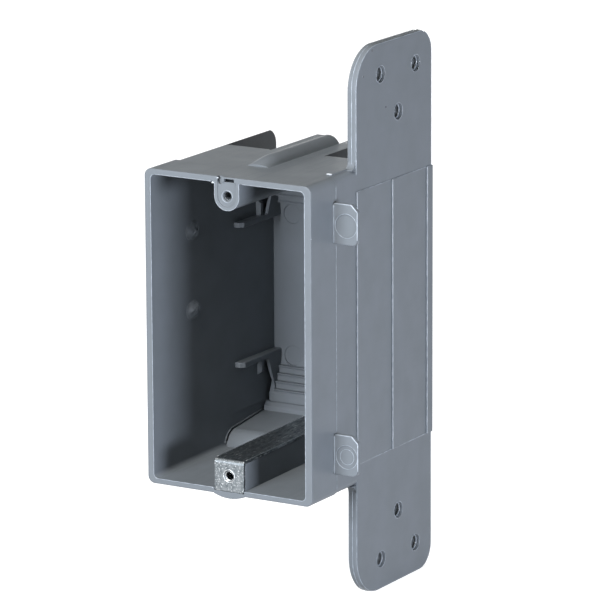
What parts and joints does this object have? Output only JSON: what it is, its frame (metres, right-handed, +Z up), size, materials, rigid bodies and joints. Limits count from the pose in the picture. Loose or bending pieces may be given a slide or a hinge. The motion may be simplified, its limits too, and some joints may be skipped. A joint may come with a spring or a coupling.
{
  "type": "plastic device box",
  "caption": "Open-fronted moulded box with a side nailing plate, stop ears and sprung cable entries; it holds a wiring device in a framed wall.",
  "frame": {"origin": "midway between the two device screw holes, in the plane of the front rim", "axes": "+X to the right, towards the mounting plate; +Y back into the wall; +Z up, along the line of the device screws"},
  "size_m": [0.0641, 0.0718, 0.165],
  "materials": {
    "moulding": "satin",
    "strap_steel": "galvanised"
  },
  "bodies": {
    "root": {"box_body": "moulding", "device_strap": "strap_steel"}
  },
  "joints": []
}
